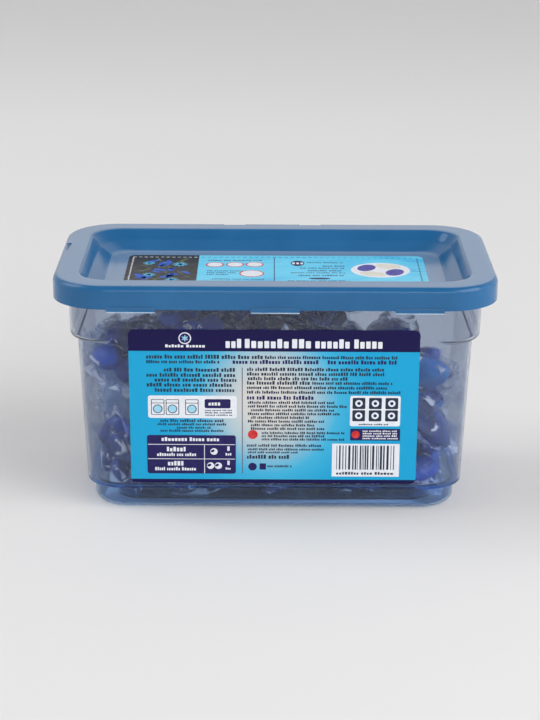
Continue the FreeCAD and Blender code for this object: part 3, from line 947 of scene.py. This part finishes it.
def make_tab_lips():
    """Thin lip along the foot of each finger tab, painted pale as a highlight."""
    lips = open_piece("tab_lips")
    for side in (-1, 1):
        for place in (-1, 0, 1):
            middle = (place * TAB_PITCH * MM, side * TAB_FACE * MM, TAB_FOOT * MM)
            bpy.ops.mesh.primitive_cube_add(size=1, location=middle)
            size = (TAB_LENGTH * MM, LIP_DEPTH * MM, LIP_HEIGHT * MM)
            bpy.ops.transform.resize(value=size, center_override=middle)
            bpy.ops.mesh.bevel(offset=LIP_ROUNDING * MM, segments=3, affect="EDGES")
    bpy.ops.object.mode_set(mode="OBJECT")
    bpy.ops.object.shade_smooth()
    finish, tree, shader = new_finish("tab_lip_painted_highlight")
    # Pale tone: a painted highlight where the foot of each tab catches the light, not the
    # plastic's own colour.
    tone = graded(
        tree,
        speckle(tree, 160, 3.0),
        [(0.3, screen_colour(150, 178, 208)), (0.7, screen_colour(196, 212, 228))],
    )
    tree.links.new(tone, shader.inputs["Base Color"])
    uneven_gloss(tree, shader, 240, 2.0, 0.2, 0.32)
    give_finish(lips, finish)
    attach(lips, "lid")


# Pods


def make_chambers_piece():
    """Four swirled liquid chambers; opposite ones share a material."""
    chambers = open_piece("pod_chambers")
    height = POD_HALF_HEIGHT - FILM_LEVEL
    for number in range(4):
        angle = math.radians(90 * number)
        middle = Vector((math.cos(angle), math.sin(angle), 0)) * CHAMBER_OFFSET * MM
        middle.z = FILM_LEVEL * MM
        bpy.ops.mesh.primitive_uv_sphere_add(
            segments=16, ring_count=10, radius=CHAMBER_RADIUS * MM, location=middle
        )
        bpy.ops.transform.resize(
            value=(1, 1, height / CHAMBER_RADIUS), center_override=middle
        )
    bpy.ops.mesh.select_all(action="SELECT")
    bpy.ops.mesh.bisect(
        plane_co=(0, 0, FILM_LEVEL * MM), plane_no=(0, 0, 1), clear_inner=True, use_fill=True
    )
    bpy.ops.object.mode_set(mode="OBJECT")
    for polygon in chambers.data.polygons:
        along = abs(polygon.center.x) > abs(polygon.center.y)
        polygon.material_index = 0 if along else 1
    for vertex in chambers.data.vertices:
        vertex.select = math.hypot(vertex.co.x, vertex.co.y) < SWIRL_CORE * MM
    bpy.ops.object.mode_set(mode="EDIT")
    bpy.ops.transform.rotate(
        value=math.radians(SWIRL_TURN),
        orient_axis="Z",
        center_override=(0, 0, 0),
        use_proportional_edit=True,
        proportional_edit_falloff="SMOOTH",
        proportional_size=SWIRL_REACH * MM,
    )
    bpy.ops.object.mode_set(mode="OBJECT")
    return chambers


def make_cushion_piece():
    """Cushion of liquid that bulges below the film."""
    cushion = open_piece("pod_cushion")
    middle = (0, 0, FILM_LEVEL * MM)
    bpy.ops.mesh.primitive_uv_sphere_add(
        segments=32, ring_count=12, radius=CUSHION_RADIUS * MM, location=middle
    )
    depth = (POD_HALF_HEIGHT + FILM_LEVEL) / CUSHION_RADIUS
    bpy.ops.transform.resize(value=(1, 1, depth), center_override=middle)
    bpy.ops.mesh.select_all(action="SELECT")
    bpy.ops.mesh.bisect(plane_co=middle, plane_no=(0, 0, 1), clear_outer=True, use_fill=True)
    bpy.ops.object.mode_set(mode="OBJECT")
    return cushion


def make_flange_piece():
    """Flat film edge around the pod, to be crinkled pod by pod."""
    flange = open_piece("pod_flange")
    bpy.ops.mesh.primitive_circle_add(
        vertices=72,
        radius=FILM_EDGE_RADIUS * MM,
        fill_type="NGON",
        location=(0, 0, FILM_LEVEL * MM),
    )
    for width in FILM_RING_WIDTHS:
        bpy.ops.mesh.inset(thickness=width * MM, depth=0)
    bpy.ops.mesh.delete(type="FACE")
    bpy.ops.object.mode_set(mode="OBJECT")
    return flange


def cloud_texture(name, scale):
    """Cloud noise to push a surface about."""
    texture = bpy.data.textures.new(name, "CLOUDS")
    texture.noise_scale = scale
    return texture


def crinkle(piece, texture, strength):
    """Push a piece's surface in and out, by a texture that lies still in the tub."""
    make_active(piece)
    push = piece.modifiers.new("crinkle", "DISPLACE")
    push.texture = texture
    push.texture_coords = "LOCAL"
    push.direction = "NORMAL"
    push.strength = strength * MM
    push.mid_level = 0.5
    bpy.ops.object.modifier_apply(modifier="crinkle")


def pod_templates(finishes):
    """The liquid parts of one pod about its own middle, its skin, and its film edge."""
    chambers = make_chambers_piece()
    smooth = chambers.modifiers.new("soften", "SUBSURF")
    smooth.levels = 1
    smooth.render_levels = 1
    bpy.ops.object.modifier_apply(modifier="soften")
    cushion = make_cushion_piece()
    flange = make_flange_piece()
    for piece, slots in (
        (chambers, (finishes["blue"], finishes["pale"])),
        (cushion, (finishes["clear"],)),
        (flange, (finishes["film"],)),
    ):
        make_active(piece)
        give_finish(piece, *slots)
        bpy.ops.object.shade_smooth()
    make_active(chambers)
    cushion.select_set(True)
    bpy.ops.object.join()
    skin = placed_copy(chambers, "pod_skin", Matrix.Identity(4))
    make_active(skin)
    bpy.ops.object.mode_set(mode="EDIT")
    bpy.ops.mesh.select_all(action="SELECT")
    bpy.ops.mesh.subdivide(number_cuts=1, smoothness=0)
    bpy.ops.object.mode_set(mode="OBJECT")
    give_finish(skin, finishes["skin"])
    bpy.ops.object.shade_smooth()
    make_active(chambers)
    bpy.ops.object.mode_set(mode="EDIT")
    bpy.ops.mesh.select_all(action="SELECT")
    share = (LIQUID_SHARE, LIQUID_SHARE, LIQUID_SHARE)
    bpy.ops.transform.resize(value=share, center_override=(0, 0, FILM_LEVEL * MM))
    bpy.ops.object.mode_set(mode="OBJECT")
    return chambers, skin, flange


def placed_copy(template, name, matrix):
    """Copy of a template with its own mesh, put in place."""
    copy = bpy.data.objects.new(name, template.data.copy())
    bpy.context.scene.collection.objects.link(copy)
    copy.data.transform(matrix)
    return copy


def pod_pose(node):
    """Matrix from a pod's own frame to where its CAD node lies."""
    points = np.array([vertex.co for vertex in node.data.vertices], float)
    _, _, main_axes = np.linalg.svd(points - points.mean(0), full_matrices=False)
    axis = main_axes[2]
    for _ in range(3):
        _, _, flat, centre = seen_along(axis, points)
        reach = np.linalg.norm(flat - centre, axis=1)
        rim = points[reach > POD_RADIUS * MM * RIM_SHARE]
        _, _, rim_axes = np.linalg.svd(rim - rim.mean(0), full_matrices=False)
        axis = rim_axes[2]
    levels = rim @ axis
    film = (levels.max() + levels.min()) / 2
    heights = points @ axis - film
    if heights.max() < -heights.min():
        axis, film, heights = -axis, -film, -heights
    across, along, flat, centre = seen_along(axis, points)
    tops = flat[heights > heights.max() - TOP_SLICE * MM] - centre
    angles = np.arctan2(tops[:, 1], tops[:, 0])
    spin = np.angle(np.exp(4j * angles).sum()) / 4
    side = across * math.cos(spin) + along * math.sin(spin)
    other = np.cross(axis, side)
    middle = across * centre[0] + along * centre[1] + axis * (film - FILM_LEVEL * MM)
    matrix = Matrix.Identity(4)
    for row in range(3):
        matrix[row] = (side[row], other[row], axis[row], middle[row])
    return matrix


def seen_along(axis, points):
    """Two level directions across an axis, the points seen along it, and their middle."""
    helper = np.array([1.0, 0, 0]) if abs(axis[0]) < 0.8 else np.array([0, 1.0, 0])
    across = np.cross(axis, helper)
    across /= np.linalg.norm(across)
    along = np.cross(axis, across)
    flat = np.stack([points @ across, points @ along], 1)
    return across, along, flat, (flat.max(0) + flat.min(0)) / 2


def keep_inside(piece):
    """Press film that crinkled outward back to the inner face of the tub's wall."""
    for vertex in piece.data.vertices:
        point = vertex.co
        rise = max(point.z - LEDGE_HEIGHT * MM, 0)
        reach_x = ROOM_LENGTH * MM + END_LEAN * rise - ROOM_CORNER * MM
        reach_y = ROOM_WIDTH * MM + FRONT_LEAN * rise - ROOM_CORNER * MM
        out = Vector((max(abs(point.x) - reach_x, 0), max(abs(point.y) - reach_y, 0)))
        if out.length > ROOM_CORNER * MM:
            out = out.normalized() * ROOM_CORNER * MM
            if out.x > 0:
                point.x = math.copysign(reach_x + out.x, point.x)
            if out.y > 0:
                point.y = math.copysign(reach_y + out.y, point.y)
        point.z = max(point.z, LOWEST_FILM * MM)


def dress_pods(finishes):
    """A detailed pod in the place of each CAD pod, each with its own crinkles."""
    liquid, skin, edge = pod_templates(finishes)
    edge_push, edge_scale = CRINKLE
    skin_push, skin_scale = WRINKLE
    liquid_push, liquid_scale = BULGE
    edge_clouds = cloud_texture("film_crinkle", edge_scale)
    skin_clouds = cloud_texture("skin_wrinkle", skin_scale)
    liquid_clouds = cloud_texture("liquid_bulge", liquid_scale)
    chance = random.Random(5)
    names = sorted(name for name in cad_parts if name.startswith("pod_"))
    for name in names:
        matrix = pod_pose(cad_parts[name])
        film = placed_copy(edge, f"film_{name}", matrix)
        crinkle(film, edge_clouds, edge_push)
        keep_inside(film)
        wall = film.modifiers.new("film", "SOLIDIFY")
        wall.thickness = FILM_THICKNESS * MM
        wall.offset = 0
        bpy.ops.object.modifier_apply(modifier="film")
        cover = placed_copy(skin, f"skin_{name}", matrix)
        crinkle(cover, skin_clouds, skin_push)
        keep_inside(cover)
        pod = placed_copy(liquid, f"dressed_{name}", matrix)
        crinkle(pod, liquid_clouds, liquid_push)
        colours = (
            chance.choice(("blue", "blue", "royal")),
            chance.choice(("blue", "clear", "pale", "pale")),
            chance.choice(("blue", "blue", "royal", "pale", "milky")),
        )
        for number, colour in enumerate(colours):
            pod.data.materials[number] = finishes[colour]
        film.select_set(True)
        cover.select_set(True)
        bpy.ops.object.join()
        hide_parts(name)
        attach(pod, "tub")
    for template in (liquid, skin, edge):
        bpy.data.objects.remove(template)


# Floor, light and camera


def paper(name, white_in_gloss):
    """Pale paper, painted paler far away for the brighter light there; the sweep also shows
    white in glossy reflections.
    """
    finish, tree, shader = new_finish(name)
    # Paler far away: painted light, standing in for the brighter light on the far floor and
    # backdrop.
    tone = graded(
        tree,
        spread(tree, object_axes(tree)["Y"], 0, 1, -0.3, 1.2),
        [
            (0.0, screen_colour(232, 230, 229)),
            (0.35, screen_colour(236, 234, 233)),
            (0.8, screen_colour(252, 250, 249)),
        ],
    )
    tree.links.new(tone, shader.inputs["Base Color"])
    shader.inputs["Roughness"].default_value = 0.7
    shader.inputs["Specular IOR Level"].default_value = 0.2
    if white_in_gloss:
        glow = add_node(tree, "ShaderNodeEmission")
        glow.inputs["Strength"].default_value = 0.8
        rays = add_node(tree, "ShaderNodeLightPath")
        seen = mixed(
            tree, rays.outputs["Is Glossy Ray"], shader.outputs["BSDF"], glow.outputs["Emission"]
        )
        tree.links.new(seen, tree.nodes["Material Output"].inputs["Surface"])
    return finish


def floor_sheet(name, depth, middle):
    """Flat sheet on the floor."""
    sheet = open_piece(name)
    bpy.ops.mesh.primitive_plane_add(size=1, location=(0, middle, 0))
    bpy.ops.transform.resize(value=(FLOOR_SPAN, depth, 1), center_override=(0, middle, 0))
    bpy.ops.object.mode_set(mode="OBJECT")
    return sheet


def lay_floor():
    """Pale floor, and a backdrop that rises from its far edge in one sweep."""
    floor = floor_sheet("pale_floor", FLOOR_DEPTH, FLOOR_MIDDLE)
    give_finish(floor, paper("pale_paper", False))
    backdrop = floor_sheet("pale_backdrop", BACKDROP_DEPTH, BACKDROP_MIDDLE)
    mark_far_edge(backdrop)
    bpy.ops.object.mode_set(mode="EDIT")
    bpy.ops.mesh.extrude_region_move(TRANSFORM_OT_translate={"value": (0, 0, BACKDROP_HEIGHT)})
    bpy.ops.mesh.select_all(action="DESELECT")
    bpy.ops.object.mode_set(mode="OBJECT")
    mark_far_edge(backdrop)
    bpy.ops.object.mode_set(mode="EDIT")
    bpy.ops.mesh.bevel(offset=SWEEP_RADIUS, segments=16, affect="EDGES")
    bpy.ops.object.mode_set(mode="OBJECT")
    bpy.ops.object.shade_smooth()
    give_finish(backdrop, paper("pale_sweep", True))


def mark_far_edge(piece):
    """Select the edge at the far end of a floor sheet, down on the floor."""
    mesh = piece.data
    for polygon in mesh.polygons:
        polygon.select = False
    for vertex in mesh.vertices:
        vertex.select = vertex.co.y > BACKDROP_MIDDLE and vertex.co.z < 0.1
    for edge in mesh.edges:
        edge.select = all(mesh.vertices[end].select for end in edge.vertices)


def soft_lamp(name, place, size, power):
    """Soft rectangular lamp, turned to the tub."""
    light = bpy.data.lights.new(name, "AREA")
    light.shape = "RECTANGLE"
    light.size, light.size_y = size
    light.energy = power
    lamp = bpy.data.objects.new(name, light)
    lamp.location = place
    toward = Vector(LAMP_TARGET) - Vector(place)
    lamp.rotation_euler = toward.to_track_quat("-Z", "Y").to_euler()
    bpy.context.scene.collection.objects.link(lamp)


def light_scene():
    """Pale room, darker overhead and on the camera's side, with soft lamps around."""
    world = bpy.data.worlds.new("soft_room")
    world.use_nodes = True
    tree = world.node_tree
    sky = axes_of(tree, add_node(tree, "ShaderNodeTexCoord").outputs["Generated"])
    room = graded(
        tree,
        sky["Z"],
        [(0.3, (1.0, 1.0, 1.0, 1)), (0.62, (0.42, 0.43, 0.45, 1)), (0.9, (0.22, 0.23, 0.25, 1))],
    )
    background = tree.nodes["Background"]
    tree.links.new(room, background.inputs["Color"])
    strength = spread(tree, sky["Y"], 0.55, 1.3, -0.8, 0.2)
    tree.links.new(strength, background.inputs["Strength"])
    bpy.context.scene.world = world
    for name, place, size, power in SOFT_LAMPS:
        soft_lamp(name, place, size, power)


def set_camera():
    """Camera with the photograph's view."""
    camera = bpy.data.cameras.new("photo_view")
    camera.sensor_fit = "HORIZONTAL"
    camera.sensor_width = SENSOR_WIDTH
    camera.lens = FOCAL_LENGTH
    view = bpy.data.objects.new("photo_view", camera)
    view.location = CAMERA_PLACE
    view.rotation_mode = "ZYX"
    view.rotation_euler = (math.radians(CAMERA_TILT), 0, math.radians(CAMERA_ROLL))
    bpy.context.scene.collection.objects.link(view)
    bpy.context.scene.camera = view


def main():
    """Finishes, print, lips, pods, floor, light and camera, in this order."""
    clear_selection()
    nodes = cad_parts
    give_finish(nodes["tub"], tub_plastic())
    give_finish(nodes["lid"], lid_plastic())
    give_finish(nodes["front_label"], front_label_print())
    give_finish(nodes["lid_label"], lid_label_print())
    inks = {name: ink(f"{name}_ink", *tones) for name, tones in INK_TONES.items()}
    front_label_artwork(inks)
    lid_label_artwork(inks)
    make_tab_lips()
    finishes = {
        "film": pod_film("pod_film", 90, 0.02, 0.8, 0.47, 0.64),
        "skin": pod_film("pod_skin", 70, 0.0, 0.85, 0.585, 0.65),
    }
    for name, tones in LIQUID_TONES.items():
        finishes[name] = pod_liquid(f"{name}_liquid", *tones)
    dress_pods(finishes)
    lay_floor()
    light_scene()
    set_camera()
    bpy.context.scene.view_settings.view_transform = "Standard"


main()
